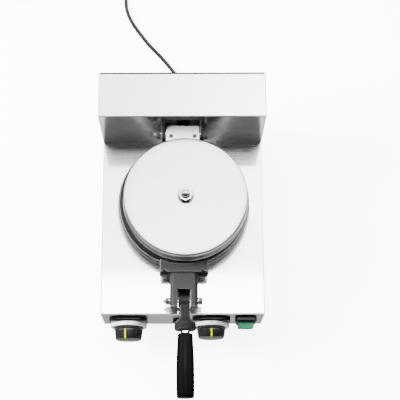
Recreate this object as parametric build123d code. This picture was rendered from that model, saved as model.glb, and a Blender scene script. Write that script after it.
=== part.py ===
from build123d import *
import math
import os

# A countertop cooker: two round cast moulds on a steel box, the upper one under a pressed lid that
# swings on a hinge at the front of a tower, with a latch lever in front. Sizes are in millimetres.
# X runs to the right, Y to the back and Z up. The origin is on the table under the middle of the part.

# Steel body
base_width = 267.0
base_height = 88.0
body_depth = 369.5
handle_reach = 138.5
foot_height = 18.0
sheet = 1.2
bend = 1.8
tower_height = 120.0
tower_depth = 75.0
fold = 12.0

half_width = base_width / 2
front_y = (handle_reach - body_depth) / 2
rear_y = front_y + body_depth
deck_z = foot_height + base_height
tower_top = deck_z + tower_height
tower_y = rear_y - tower_depth

# Clearances
screw_play = 0.1
running_play = 0.05
seat_gap = 0.3

# Lid hinge, ahead of the tower
hinge_x = 0.6
pin_ahead = 10.0
pin_y = tower_y - pin_ahead
pin_z = deck_z + 68.0
pin_r = 3.5
knuckle_r = 7.3
lug_half = 26.2
ear_inner = 28.6
ear_outer = 34.3
window_half = 28.0

# Moulds, casing and lid, heights above the deck. The lid's cover sits a little to the right.
mould_x = 2.0
upper_mould_r = 103.0
pin_clear = 5.0
mould_y = pin_y - upper_mould_r - pin_clear
lower_mould_r = upper_mould_r + 3.5
casing_r = lower_mould_r - 2.0
casing_h = 30.0
casing_wall = 1.0
flange_r = casing_r + 5.0
parting_h = 40.0
bowl_r = 58.0
bowl_depth = 15.0
bowl_floor_r = 38.0
cast_wall = 6.0
upper_mould_top = 50.5
boss_r = upper_mould_r - 3.5
boss_top = 53.5
dome_top = 61.0
cover_x = mould_x + 3.0
cover_rim_r = boss_r + 1.5
cover_top_r = boss_r - 4.1
cover_top = 78.0
cover_edge = 4.0
cover_skin = 1.0
bead_h = 2.6
bead_proud = 1.0
stud_r = 5.0
lower_stud_r = 4.0
mould_front = mould_y - upper_mould_r

# Latch. The lever's bar, hub and grip stand a little to the right of its boss.
bolt_y = front_y + 14.5
bolt_z = deck_z + 35.0
bolt_r = 3.0
clevis_half = 22.3
slot_half = 10.2
lever_x = mould_x + 1.8
lever_half = 7.6
hub_r = 17.2
tongue_low = bolt_z - 20.0
tongue_front = bolt_y + 9.5

# Front panel
knob_z = deck_z - 48.0
timer_x = 43.8 - half_width
thermostat_x = half_width - 86.3
bezel_size = 63.0
bezel_depth = 7.0
dial_r = 30.4
dial_skin = 6.4
shaft_r = 3.0
skirt_r = 24.5
knob_low_r = 23.4
knob_front_r = 21.4
timer_knob_front = 34.2
thermostat_knob_front = 31.6
timer_turn = -12.0
rocker_x = half_width - 29.7
rocker_z = deck_z - 35.0
lamp_x = thermostat_x - 52.2
lamp_z = deck_z - 47.0

# Mains lead
cord_d = 7.0
cord_r = cord_d / 2
gland_x = 2.0
gland_z = 32.0
relief_end = rear_y + 34.0
tie_skin = 0.9
coil_lift = 1.2
coil_pitch = 7.5
coil_outer_r = 46.0
coil_inner_r = 31.0
coil_y = rear_y + 336.0

nodes = {}


# Helpers
def block(x0, x1, y0, y1, z0, z1):
    """A straight block between two corners."""
    middle = Pos((x0 + x1) / 2, (y0 + y1) / 2, (z0 + z1) / 2)
    return middle * Box(x1 - x0, y1 - y0, z1 - z0)


def rod_x(x0, x1, y, z, r):
    """A round bar along X."""
    return Pos((x0 + x1) / 2, y, z) * Rot(0, 90, 0) * Cylinder(r, x1 - x0)


def rod_y(x, y0, y1, z, r):
    """A round bar along Y."""
    return Pos(x, (y0 + y1) / 2, z) * Rot(90, 0, 0) * Cylinder(r, y1 - y0)


def rod_z(x, y, z0, z1, r):
    """A round bar along Z."""
    return Pos(x, y, (z0 + z1) / 2) * Cylinder(r, z1 - z0)


def hex_bar(across, length):
    """A hexagon bar upward from the origin, measured across its flats."""
    return extrude(RegularPolygon(across / 2, 6, major_radius=False), length)


def hex_x(x0, x1, y, z, across):
    """A hexagon bar along X."""
    return Pos(x0, y, z) * Rot(0, 90, 0) * hex_bar(across, x1 - x0)


def hex_y(x, y0, y1, z, across):
    """A hexagon bar along Y."""
    return Pos(x, y0, z) * Rot(-90, 0, 0) * hex_bar(across, y1 - y0)


def turned(points):
    """A turned solid about Z from an outline in radius and height."""
    return revolve(Plane.XZ * make_face(Polyline(*points, close=True)), Axis.Z)


def turned_forward(points, x, y, z):
    """A turned solid whose axis points to the front, from radius and distance ahead of y."""
    return Pos(x, y, z) * Rot(90, 0, 0) * turned(points)


def dome(r, h, z):
    """A round cap of radius r and height h that stands on height z."""
    ball_r = (r * r + h * h) / (2 * h)
    ball = Pos(0, 0, z + h - ball_r) * Sphere(ball_r)
    return ball & (Pos(0, 0, z + h) * Box(4 * r, 4 * r, 2 * h))


def plate_x(points, x0, x1):
    """A plate from x0 to x1 cut to an outline in Y and Z."""
    outline = Polyline(*[(x0, y, z) for y, z in points], close=True)
    return extrude(make_face(outline), x1 - x0, dir=(1, 0, 0))


def pan_head_y(x, y, z, r, length, shank_r, depth, out=1):
    """A slotted pan screw along Y: its head stands length proud of y, its shank goes depth inside."""
    head = rod_y(x, min(y, y + out * length), max(y, y + out * length), z, r)
    top = y + out * length
    cut = block(x - r, x + r, min(top, top - out * length / 2), max(top, top - out * length / 2),
                z - r / 6, z + r / 6)
    shank = rod_y(x, min(y, y - out * depth), max(y, y - out * depth), z, shank_r)
    return head - cut + shank


# Base cover: one sheet folded to a box that is open underneath, with a narrow flange for the bottom plate
def folded_box(y0, y1, z0, z1):
    """The outer box with bent edges, less the space inside, open below."""
    outer = block(-half_width, half_width, y0, y1, z0, z1)
    outer = fillet([e for e in outer.edges() if e.center().Z > z0 + 1], bend)
    inner = block(-half_width + sheet, half_width - sheet, y0 + sheet, y1 - sheet, z0 - 1, z1 - sheet)
    inner = fillet([e for e in inner.edges() if e.center().Z > z0], bend - sheet)
    return outer - inner


def panel_holes():
    """The holes in the front panel for the shafts, the rocker switch and the lamp."""
    y0 = front_y - 1
    y1 = front_y + sheet + 1
    holes = rod_y(timer_x, y0, y1, knob_z, shaft_r + 1)
    holes += rod_y(thermostat_x, y0, y1, knob_z, shaft_r + 1)
    holes += rod_y(lamp_x, y0, y1, lamp_z, lamp_barrel_r + screw_play)
    half_x = rocker_body_half_x + screw_play
    half_z = rocker_body_half_z + screw_play
    holes += block(rocker_x - half_x, rocker_x + half_x, y0, y1, rocker_z - half_z, rocker_z + half_z)
    return holes


lamp_barrel_r = 7.5
rocker_body_half_x = 15.0
rocker_body_half_z = 18.0
gland_thread_r = 8.0
wire_way_half = 70.0


def base_cover():
    cover = folded_box(front_y, rear_y, foot_height, deck_z)
    flange = block(-half_width + sheet, half_width - sheet, front_y + sheet, rear_y - sheet,
                   foot_height, foot_height + sheet)
    flange -= block(-half_width + fold, half_width - fold, front_y + fold, rear_y - fold,
                    foot_height - 1, foot_height + sheet + 1)
    cover += flange
    cover -= panel_holes()
    cover -= rod_z(mould_x, mould_y, deck_z - fold, deck_z + 1, lower_stud_r + screw_play)
    cover -= rod_y(gland_x, rear_y - fold, rear_y + 1, gland_z, gland_thread_r + screw_play)
    way_y = rear_y - tower_depth / 2
    cover -= block(-wire_way_half, wire_way_half, way_y - fold, way_y + fold, deck_z - fold, deck_z + 1)
    return cover


nodes["base_cover"] = base_cover()


# Bottom plate under the cover's flange, with two banks of cooling slots
slot_width = 4.0
slot_length = 56.0
slot_count = 7
slot_step = 12.0
plate_margin = 1.0
foot_inset = 26.0
foot_screw_r = 2.0
foot_places = [(sx * (half_width - foot_inset), y)
               for sx in (-1, 1) for y in (front_y + foot_inset, rear_y - foot_inset)]


def bottom_plate():
    plate = block(-half_width + plate_margin, half_width - plate_margin, front_y + plate_margin,
                  rear_y - plate_margin, foot_height - sheet, foot_height)
    for side in (-1, 1):
        for i in range(slot_count):
            y = (i - (slot_count - 1) / 2) * slot_step + (front_y + rear_y) / 2
            x = side * half_width / 2
            plate -= block(x - slot_length / 2, x + slot_length / 2, y - slot_width / 2,
                           y + slot_width / 2, foot_height - sheet - 1, foot_height + 1)
    for x, y in foot_places:
        plate -= rod_z(x, y, 0, foot_height + 1, foot_screw_r + screw_play)
    return plate


nodes["bottom_plate"] = bottom_plate()


# Rubber feet, each held by a pan screw up into the bottom plate
foot_r = 12.5
foot_toe_r = 10.5
foot_recess_r = 5.5
foot_recess = 5.0
screw_head_r = 4.0
screw_head_h = 2.2


def foot(x, y):
    top = foot_height - sheet
    bore = foot_screw_r + screw_play
    outline = [(foot_recess_r, 0), (foot_toe_r - 1, 0), (foot_toe_r, 1), (foot_r, top), (bore, top),
               (bore, foot_recess), (foot_recess_r, foot_recess)]
    return Pos(x, y, 0) * turned(outline)


def foot_screw(x, y):
    screw = rod_z(x, y, foot_recess - screw_head_h, foot_recess, screw_head_r)
    return screw + rod_z(x, y, foot_recess, foot_height + 3, foot_screw_r)


for name, place in zip(("rear_left", "front_left", "rear_right", "front_right"),
                       (foot_places[1], foot_places[0], foot_places[3], foot_places[2])):
    nodes["foot_" + name] = foot(*place)

nodes["foot_screws"] = Compound([foot_screw(*place) for place in foot_places])


# Tower cover: front, top and sides from one sheet, open at the back, with folded flanges all round
bracket_window_half = ear_outer + 0.5
bracket_window_low = deck_z + 43.5
back_recess = 4.2


def tower_cover():
    outer = block(-half_width, half_width, tower_y, rear_y, deck_z, tower_top)
    outer = fillet([e for e in outer.edges() if e.center().Y < rear_y - 1 and e.center().Z > deck_z + 1],
                   bend)
    inner = block(-half_width + sheet, half_width - sheet, tower_y + sheet, rear_y + 1, deck_z - 1,
                  tower_top - sheet)
    cover = outer - inner
    cover += back_flange() + bottom_flange()
    window = block(hinge_x - bracket_window_half, hinge_x + bracket_window_half, tower_y - 1,
                   tower_y + sheet + 0.5, bracket_window_low, tower_top - sheet)
    return cover - window


def back_flange():
    """The flange round the back opening that the back plate lies on."""
    y1 = rear_y - back_recess
    y0 = y1 - sheet
    ring = block(-half_width + sheet, half_width - sheet, y0, y1, deck_z, tower_top - sheet)
    return ring - block(-half_width + fold, half_width - fold, y0 - 1, y1 + 1, deck_z + fold,
                        tower_top - fold)


def bottom_flange():
    """The flange that stands on the deck."""
    y1 = rear_y - back_recess
    ring = block(-half_width + sheet, half_width - sheet, tower_y + sheet, y1, deck_z, deck_z + sheet)
    return ring - block(-half_width + fold, half_width - fold, tower_y + fold, y1 - fold, deck_z - 1,
                        deck_z + sheet + 1)


nodes["tower_cover"] = tower_cover()


# Back plate of the tower: two columns of louvres and six pan screws
louvre_length = 70.0
louvre_height = 7.0
louvre_out = 2.4
louvre_count = 6
louvre_step = 13.0
back_screw_head_r = 3.2
back_screw_head_h = 1.6
back_screw_r = 1.7
back_screw_places = [(sx * (half_width - fold / 2 - 0.5), z) for sx in (-1, 1)
                     for z in (deck_z + fold, deck_z + tower_height / 2, tower_top - fold)]


def louvre(x, z):
    """One pressed hood, open along its lower edge."""
    y0 = rear_y - back_recess + sheet
    half = louvre_length / 2
    hood = plate_x([(y0 - sheet, z), (y0 + louvre_out, z), (y0, z + louvre_height),
                    (y0 - sheet, z + louvre_height)], x - half, x + half)
    mouth = plate_x([(y0 - sheet - 1, z - 1), (y0 + louvre_out - 1, z - 1), (y0 - 1, z + louvre_height - 2),
                     (y0 - sheet - 1, z + louvre_height - 2)], x - half + 1, x + half - 1)
    return hood, mouth


def tower_back():
    y0 = rear_y - back_recess
    gap = sheet + seat_gap
    plate = block(-half_width + gap, half_width - gap, y0, y0 + sheet, deck_z + seat_gap,
                  tower_top - gap)
    for side in (-1, 1):
        for i in range(louvre_count):
            z = deck_z + 24 + i * louvre_step
            hood, mouth = louvre(side * half_width / 2, z)
            plate = plate + hood - mouth
    for x, z in back_screw_places:
        plate -= rod_y(x, y0 - 1, y0 + sheet + 1, z, back_screw_r + screw_play)
    return plate


def back_screws():
    y = rear_y - back_recess + sheet
    return [pan_head_y(x, y, z, back_screw_head_r, back_screw_head_h, back_screw_r, 8)
            for x, z in back_screw_places]


nodes["tower_cover"] -= Compound([rod_y(x, rear_y - fold, rear_y, z, back_screw_r + screw_play)
                                  for x, z in back_screw_places])
nodes["tower_back"] = tower_back()
nodes["tower_back_screws"] = Compound(back_screws())


# Hinge bracket: a casting let into the tower front from inside, with a window for the lid's tail and
# two ears that carry the hinge bolt
bracket_flange_half = 43.0
bracket_pad_half = ear_outer
bracket_face = tower_y
bracket_seat = tower_y + sheet + seat_gap
bracket_rear = bracket_seat + 4.0
bracket_low = deck_z + 34.0
bracket_high = tower_top - sheet - seat_gap
pad_low = deck_z + 44.0
window_low = deck_z + 50.0
window_high = deck_z + 104.0
ear_r = 9.0
ear_low = deck_z + 48.0
ear_high = deck_z + 84.0
bracket_stud_x = 39.0
bracket_stud_zs = (deck_z + 39.0, deck_z + 112.0)


def ear(x0, x1):
    """One ear: straight below the bolt, round in front of it and sloping back above it."""
    front = pin_y - ear_r
    lean = math.radians(35)
    tip_y = pin_y - ear_r * math.cos(lean)
    tip_z = pin_z + ear_r * math.sin(lean)
    body = plate_x([(bracket_face, ear_low), (front + 2, ear_low), (front, ear_low + 2), (front, pin_z),
                    (pin_y, pin_z), (tip_y, tip_z), (bracket_face, ear_high)], x0, x1)
    return body + rod_x(x0, x1, pin_y, pin_z, ear_r)


def hinge_bracket():
    body = block(hinge_x - bracket_flange_half, hinge_x + bracket_flange_half, bracket_seat, bracket_rear,
                 bracket_low, bracket_high)
    body += block(hinge_x - bracket_pad_half, hinge_x + bracket_pad_half, bracket_face, bracket_seat,
                  pad_low, bracket_high)
    for side in (-1, 1):
        inner = hinge_x + side * ear_inner
        outer = hinge_x + side * ear_outer
        body += ear(min(inner, outer), max(inner, outer))
    body -= block(hinge_x - window_half, hinge_x + window_half, bracket_face - 1, bracket_rear + 1,
                  window_low, window_high)
    body -= rod_x(hinge_x - 2 * ear_outer, hinge_x + 2 * ear_outer, pin_y, pin_z, pin_r + running_play)
    for side in (-1, 1):
        for z in bracket_stud_zs:
            x = hinge_x + side * bracket_stud_x
            body -= rod_y(x, bracket_seat - 1, bracket_rear + 1, z, 2 + screw_play)
    return body


def bracket_stud(x, z):
    """A stud welded to the back of the tower front, with its nut."""
    stud = rod_y(x, tower_y + sheet, bracket_rear + 6, z, 2)
    return stud + hex_y(x, bracket_rear, bracket_rear + 3.2, z, 7)


nodes["hinge_bracket"] = hinge_bracket()
nodes["hinge_bracket_nuts"] = Compound([bracket_stud(hinge_x + side * bracket_stud_x, z)
                                        for side in (-1, 1) for z in bracket_stud_zs])


# Hinge bolt with its head on the right, and its washer and nut on the left
pin_head_h = 5.4
washer_h = 1.5
pin_nut_h = 5.5
pin_tail = 13.5


def hinge_pin():
    right = hinge_x + ear_outer
    left = hinge_x - ear_outer
    pin = rod_x(left - pin_tail, right, pin_y, pin_z, pin_r)
    return pin + hex_x(right, right + pin_head_h, pin_y, pin_z, 11)


def hinge_pin_nut():
    left = hinge_x - ear_outer
    nut = rod_x(left - washer_h, left, pin_y, pin_z, 6.8)
    nut += hex_x(left - washer_h - pin_nut_h, left - washer_h, pin_y, pin_z, 11)
    return nut - rod_x(left - pin_tail, left + 1, pin_y, pin_z, pin_r + screw_play)


nodes["hinge_pin"] = hinge_pin()
nodes["hinge_pin_nut"] = hinge_pin_nut()


# Lower casing: a spun pot with a foot flange and an inward rim that the lower mould lies on
casing_rim_r = casing_r - 12.0


def on_mould(solid):
    """Moves a solid that was made about the origin to the moulds' centre on the deck."""
    return Pos(mould_x, mould_y, deck_z) * solid


def lower_casing():
    inside = casing_r - casing_wall
    return on_mould(turned([(inside - 3, 0), (flange_r, 0), (flange_r, sheet), (casing_r + 1.5, sheet),
                            (casing_r, sheet + 1.5), (casing_r, casing_h), (casing_rim_r, casing_h),
                            (casing_rim_r, casing_h - casing_wall), (inside, casing_h - casing_wall),
                            (inside, sheet), (inside - 3, sheet)]))


nodes["lower_casing"] = lower_casing()


# Lower mould: a cast disc with a round bowl and a raised rim that pinches the bun's edge
hub_out_r = bowl_r + 10.0
rim_in_r = 60.0
rim_out_r = 63.6
rim_rise = 2.5
lower_stud_low = deck_z - 9.0
lower_stud_top = deck_z + 24.0
hub_low = parting_h - bowl_depth - 7.0


def bowl_outline(level, depth):
    """The bowl's inner edge from the middle out: a flat floor, then a round side."""
    side = ThreePointArc((bowl_floor_r, level + depth),
                         (bowl_r - 5, level + depth * 0.55), (bowl_r, level))
    return Line((0, level + depth), (bowl_floor_r, level + depth)) + side


def lower_mould():
    rim_top = parting_h + rim_rise
    inside = bowl_outline(parting_h, -bowl_depth)
    outside = Polyline((bowl_r, parting_h), (rim_in_r, parting_h), (rim_in_r + 0.8, rim_top),
                       (rim_out_r - 0.8, rim_top), (rim_out_r, parting_h), (lower_mould_r - 1, parting_h),
                       (lower_mould_r, parting_h - 1), (lower_mould_r, casing_h), (hub_out_r, casing_h),
                       (hub_out_r, hub_low + 3), (hub_out_r - 4, hub_low), (0, hub_low),
                       (0, parting_h - bowl_depth))
    body = on_mould(revolve(Plane.XZ * make_face(inside + outside), Axis.Z))
    stud_hole = rod_z(mould_x, mould_y, deck_z, lower_stud_top, lower_stud_r + screw_play)
    return body - stud_hole


def lower_stud():
    """The stud that pulls the lower mould and its casing down on the deck, with its nut below."""
    stud = rod_z(mould_x, mould_y, lower_stud_low, lower_stud_top, lower_stud_r)
    nut = Pos(mould_x, mould_y, deck_z - sheet - 6.5) * hex_bar(13, 6.5)
    return stud + nut


nodes["lower_mould"] = lower_mould()
nodes["lower_stud"] = lower_stud()


# Tubular heating elements: an open ring with both ends turned down or up
heater_r = 4.0
heater_gap = 14.0


def heater(ring_r, level, end_rise):
    """A tube round the bowl, open by a narrow gap at the back, where its ends turn off the ring."""
    start = 90 + heater_gap
    ring = CenterArc((0, 0, 0), ring_r, start, 360 - 2 * heater_gap)
    path = Pos(mould_x, mould_y, deck_z + level) * ring
    section = Plane(path @ 0, z_dir=path % 0) * Circle(heater_r)
    tube = sweep(section, path)
    for end in (path @ 0, path @ 1):
        low = min(end.Z, end.Z + end_rise)
        high = max(end.Z, end.Z + end_rise)
        tube += rod_z(end.X, end.Y, low, high, heater_r)
        tube += Pos(end.X, end.Y, end.Z) * Sphere(heater_r)
    return tube


lower_heater_r = casing_r - 20.5
upper_heater_r = upper_mould_r - 27.0
nodes["lower_heater"] = heater(lower_heater_r, casing_h - heater_r - screw_play, -10)
nodes["upper_heater"] = heater(upper_heater_r, boss_top + heater_r + screw_play, 8)


# Upper mould: the mating disc, its bowl domed upward, with the two hinge lugs cast on at the back
lug_front = mould_y + upper_mould_r - 16.0
leaf_low = pin_z + knuckle_r
leaf_half = 26.6
lug_gap_half = 10.5
notch_half = leaf_half + 0.6
notch_depth = 40.0
leaf_screw_x = 19.0
leaf_screw_y = pin_y - 6.5
leaf_screw_r = 1.9
leaf_screw_depth = 6.0
lug_root = 4.0
web_thick = 5.0


def lid_notch():
    """The space at the back of the lid cover that the hinge lugs stand in."""
    return block(hinge_x - notch_half, hinge_x + notch_half, lug_front - 0.8, pin_y + notch_depth,
                 deck_z + boss_top - 1, deck_z + cover_top - cover_skin)


def hinge_lugs():
    """Two lugs from the back of the mould up to the leaf, each ending in a knuckle on the bolt."""
    root = deck_z + upper_mould_top - lug_root
    outline = [(lug_front, root), (lug_front, leaf_low), (pin_y, leaf_low), (pin_y, pin_z),
               (pin_y - knuckle_r * 0.7, pin_z - knuckle_r), (mould_y + upper_mould_r - 5, root)]
    lugs = None
    for side in (-1, 1):
        inner = hinge_x + side * lug_gap_half
        outer = hinge_x + side * lug_half
        lug = plate_x(outline, min(inner, outer), max(inner, outer))
        reach = hinge_x + side * (leaf_half + 0.4)
        lug += rod_x(min(inner, reach), max(inner, reach), pin_y, pin_z, knuckle_r)
        lugs = lug if lugs is None else lugs + lug
    web = block(hinge_x - lug_gap_half - 1, hinge_x + lug_gap_half + 1, lug_front, lug_front + web_thick,
                root, leaf_low)
    return lugs + web


def upper_mould():
    low = parting_h + seat_gap
    groove_top = low + rim_rise + 0.6
    inside = bowl_outline(low, bowl_depth)
    outside = Polyline((bowl_r, low), (bowl_r + 0.8, groove_top), (rim_out_r + 1.4, groove_top),
                       (rim_out_r + 2.2, low), (upper_mould_r, low), (upper_mould_r, upper_mould_top - 1),
                       (upper_mould_r - 1, upper_mould_top), (boss_r, upper_mould_top), (boss_r, boss_top),
                       (bowl_r + cast_wall + 2, boss_top), (bowl_floor_r + cast_wall, dome_top),
                       (0, dome_top), (0, low + bowl_depth))
    body = on_mould(revolve(Plane.XZ * make_face(inside + outside), Axis.Z))
    body += hinge_lugs()
    body -= rod_x(hinge_x - 2 * ear_outer, hinge_x + 2 * ear_outer, pin_y, pin_z, pin_r + running_play)
    for side in (-1, 1):
        body -= rod_z(hinge_x + side * leaf_screw_x, leaf_screw_y, leaf_low - leaf_screw_depth - 1,
                      leaf_low + 1, leaf_screw_r + screw_play)
    return body


nodes["upper_mould"] = upper_mould()


# Lid cover: a pressed steel pan with a bead round its foot and a notch at the back, held down by the
# cap nut in the middle
def on_cover(solid):
    """Moves a solid that was made about the origin to the cover's centre."""
    return Pos(cover_x, mould_y, deck_z) * solid


def lid_cover():
    wall = cover_skin
    rim_in = boss_r - 3.0
    shoulder_r = cover_top_r + cover_edge
    shoulder_h = cover_top - cover_edge
    turn = math.radians(45)
    mid = (cover_top_r + cover_edge * math.sin(turn), shoulder_h + cover_edge * math.cos(turn))
    inner_edge = cover_edge - wall
    inner_mid = (cover_top_r + inner_edge * math.sin(turn), shoulder_h + inner_edge * math.cos(turn))
    bore = stud_r + screw_play
    crease_r = cover_rim_r - bead_proud
    crease_h = boss_top + bead_h + 0.6
    outline = (Polyline((bore, cover_top), (bore, cover_top - wall), (cover_top_r, cover_top - wall))
               + ThreePointArc((cover_top_r, cover_top - wall), inner_mid, (shoulder_r - wall, shoulder_h))
               + Polyline((shoulder_r - wall, shoulder_h), (crease_r - wall, crease_h),
                          (crease_r - wall, boss_top + wall), (rim_in, boss_top + wall),
                          (rim_in, boss_top), (cover_rim_r - 0.6, boss_top), (cover_rim_r, boss_top + 0.6),
                          (cover_rim_r, boss_top + bead_h - 0.6), (crease_r, crease_h),
                          (shoulder_r, shoulder_h))
               + ThreePointArc((shoulder_r, shoulder_h), mid, (cover_top_r, cover_top))
               + Line((cover_top_r, cover_top), (bore, cover_top)))
    pan = on_cover(revolve(Plane.XZ * make_face(outline), Axis.Z))
    return pan - lid_notch()


nut_washer_r = 13.0
nut_washer_h = 1.2
cap_across = 20.0
cap_hex_h = 8.0
cap_dome_h = 8.0


def lid_stud():
    return on_cover(rod_z(0, 0, dome_top, cover_top + nut_washer_h + cap_hex_h, stud_r))


def lid_washer():
    low = cover_top
    bore = stud_r + screw_play
    return on_cover(turned([(bore, low), (nut_washer_r, low), (nut_washer_r, low + nut_washer_h - 0.3),
                            (nut_washer_r - 0.3, low + nut_washer_h), (bore, low + nut_washer_h)]))


def cap_nut():
    """A hexagon with a domed cap over the end of the stud."""
    low = cover_top + nut_washer_h
    top = low + cap_hex_h
    nut = Pos(0, 0, low) * hex_bar(cap_across, cap_hex_h)
    nut += dome(cap_across / 2 - 0.6, cap_dome_h, top)
    return on_cover(nut - rod_z(0, 0, low - 1, top, stud_r + screw_play))


nodes["lid_cover"] = lid_cover()
nodes["lid_stud"] = lid_stud()
nodes["lid_washer"] = lid_washer()
nodes["cap_nut"] = cap_nut()


# Hinge leaf: a bright plate screwed on the lugs, whose tail dips into the bracket's window
leaf_h = 1.6
leaf_tail = pin_y + 11.0
leaf_corner = 2.0


def hinge_leaf():
    leaf = block(hinge_x - leaf_half, hinge_x + leaf_half, lug_front, leaf_tail, leaf_low, leaf_low + leaf_h)
    leaf = fillet(leaf.edges().filter_by(Axis.Z), leaf_corner)
    for side in (-1, 1):
        leaf -= rod_z(hinge_x + side * leaf_screw_x, leaf_screw_y, leaf_low - 1, leaf_low + leaf_h + 1,
                      leaf_screw_r + screw_play)
    return leaf


def leaf_screw(x):
    low = leaf_low + leaf_h
    outline = [(0, low), (3.2, low), (3.2, low + 1), (2.2, low + 2), (0, low + 2)]
    head = Pos(x, leaf_screw_y, 0) * turned(outline)
    head -= block(x - 4, x + 4, leaf_screw_y - 0.5, leaf_screw_y + 0.5, low + 1, low + 3)
    return head + rod_z(x, leaf_screw_y, leaf_low - leaf_screw_depth, low, leaf_screw_r)


nodes["hinge_leaf"] = hinge_leaf()
nodes["hinge_leaf_screws"] = Compound([leaf_screw(hinge_x + side * leaf_screw_x) for side in (-1, 1)])


# Handle bracket: a casting on the lid's front edge that ends in a fork for the latch bolt
fork_low = bolt_z - 13.0
fork_high = bolt_z + 9.0
fork_front = bolt_y - 9.5
apron_front = mould_front - 13.3
apron_rear = mould_front - 4.5
apron_low = deck_z + 24.0
lip_front = apron_front - 3.5
lip_high = deck_z + 31.0
flange_low = deck_z + 41.0
flange_high = deck_z + 48.0
flange_half = 38.0
flange_rear = mould_front + 12.0
slot_end = bolt_y + 18.5
fork_bevel = 5.0
fork_screw_x = 31.0
fork_screw_z = deck_z + 44.6
fork_screw_r = 2.5


def handle_bracket():
    body = block(mould_x - flange_half, mould_x + flange_half, apron_front, flange_rear, flange_low,
                 flange_high)
    body -= rod_z(mould_x, mould_y, flange_low - 1, flange_high + 1, upper_mould_r + running_play)
    body += block(mould_x - flange_half, mould_x + flange_half, apron_front, apron_rear, apron_low,
                  flange_low)
    body += block(mould_x - flange_half - 1, mould_x + flange_half + 1, lip_front, apron_rear, apron_low,
                  lip_high)
    half = clevis_half
    fork = block(mould_x - half, mould_x + half, fork_front, apron_front + 1, fork_low, fork_high)
    long_top = fork.edges().filter_by(Axis.Y).group_by(Axis.Z)[-1]
    fork = chamfer(long_top, fork_bevel)
    body += fork
    body -= block(mould_x - slot_half, mould_x + slot_half, fork_front - 1, slot_end, fork_low - 1,
                  fork_high + 1)
    body -= rod_x(mould_x - 2 * half, mould_x + 2 * half, bolt_y, bolt_z, bolt_r + running_play)
    for side in (-1, 1):
        body -= fork_screw(mould_x + side * fork_screw_x, screw_play)
    return body


def fork_screw(x, more=0.0):
    """A countersunk screw from the bracket's front into the edge of the upper mould."""
    head_r = 2 * fork_screw_r + more
    head = turned_forward([(0, 0), (fork_screw_r + more, 0), (head_r, fork_screw_r), (0, fork_screw_r)],
                          x, apron_front + fork_screw_r, fork_screw_z)
    return head + rod_y(x, apron_front + fork_screw_r, apron_front + 32, fork_screw_z, fork_screw_r + more)


nodes["handle_bracket"] = handle_bracket()
nodes["handle_bracket_screws"] = Compound([fork_screw(mould_x + side * fork_screw_x) for side in (-1, 1)])
nodes["upper_mould"] -= Compound([fork_screw(mould_x + side * fork_screw_x, screw_play)
                                  for side in (-1, 1)])


# Latch bolt through the fork, head on the right, nut on the left
bolt_across = 10.0
bolt_head_h = 5.4
bolt_tail = 10.5


def latch_bolt():
    right = mould_x + clevis_half
    bolt = rod_x(mould_x - clevis_half - bolt_tail, right + washer_h, bolt_y, bolt_z, bolt_r)
    bolt += rod_x(right, right + washer_h, bolt_y, bolt_z, 6.2)
    return bolt + hex_x(right + washer_h, right + washer_h + bolt_head_h, bolt_y, bolt_z, bolt_across)


def latch_nut():
    left = mould_x - clevis_half
    nut = rod_x(left - washer_h, left, bolt_y, bolt_z, 6.2)
    nut += hex_x(left - washer_h - bolt_head_h, left - washer_h, bolt_y, bolt_z, bolt_across)
    return nut - rod_x(left - bolt_tail, left + 1, bolt_y, bolt_z, bolt_r + screw_play)


nodes["latch_bolt"] = latch_bolt()
nodes["latch_nut"] = latch_nut()


# Latch lever: boss on the bolt, hook below it, bar and bell-shaped hub in front, threaded rod in the grip
boss_out_r = 9.0
boss_half = 9.0
hub_back = 12.0
hub_front = 32.2
rod_r = 4.0
rod_end = handle_reach - 20.0
hook_half = 7.0
hook_back = bolt_y + 3.3
hook_face = bolt_y - 3.7
hook_low = tongue_low - 8.5
hook_tip = tongue_front - 0.5
hook_top = tongue_low - 3.6


def latch_lever():
    lever = rod_x(mould_x - boss_half, mould_x + boss_half, bolt_y, bolt_z, boss_out_r)
    lever += block(lever_x - lever_half, lever_x + lever_half, front_y - 16, bolt_y, bolt_z - 7, bolt_z + 7)
    lever += turned_forward([(0, hub_back), (8.5, hub_back), (10, 13.5), (hub_r - 1, 19.5), (hub_r, 21.5),
                             (hub_r, hub_front - 1.5), (hub_r - 1, hub_front), (rod_r, hub_front),
                             (rod_r, rod_end), (0, rod_end)], lever_x, front_y, bolt_z)
    lever += plate_x([(hook_face, bolt_z - 4), (hook_back, bolt_z - 4), (hook_back, hook_top),
                      (hook_tip - 1.5, hook_top), (hook_tip, hook_top - 1.5), (hook_tip, hook_low + 1),
                      (hook_tip - 3, hook_low), (hook_face + 1, hook_low), (hook_face, hook_low + 1)],
                     mould_x - hook_half, mould_x + hook_half)
    bore = rod_x(mould_x - 2 * boss_half, mould_x + 2 * boss_half, bolt_y, bolt_z, bolt_r + running_play)
    return lever - bore


handle_nut_across = 13.0
handle_nut_h = 4.5
grip_back_r = 11.6
grip_r = 14.2
grip_start = 37.6


def handle_nut():
    nut = hex_y(lever_x, front_y - hub_front - handle_nut_h, front_y - hub_front, bolt_z, handle_nut_across)
    return nut - rod_y(lever_x, front_y - grip_start - 1, front_y, bolt_z, rod_r + screw_play)


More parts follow.
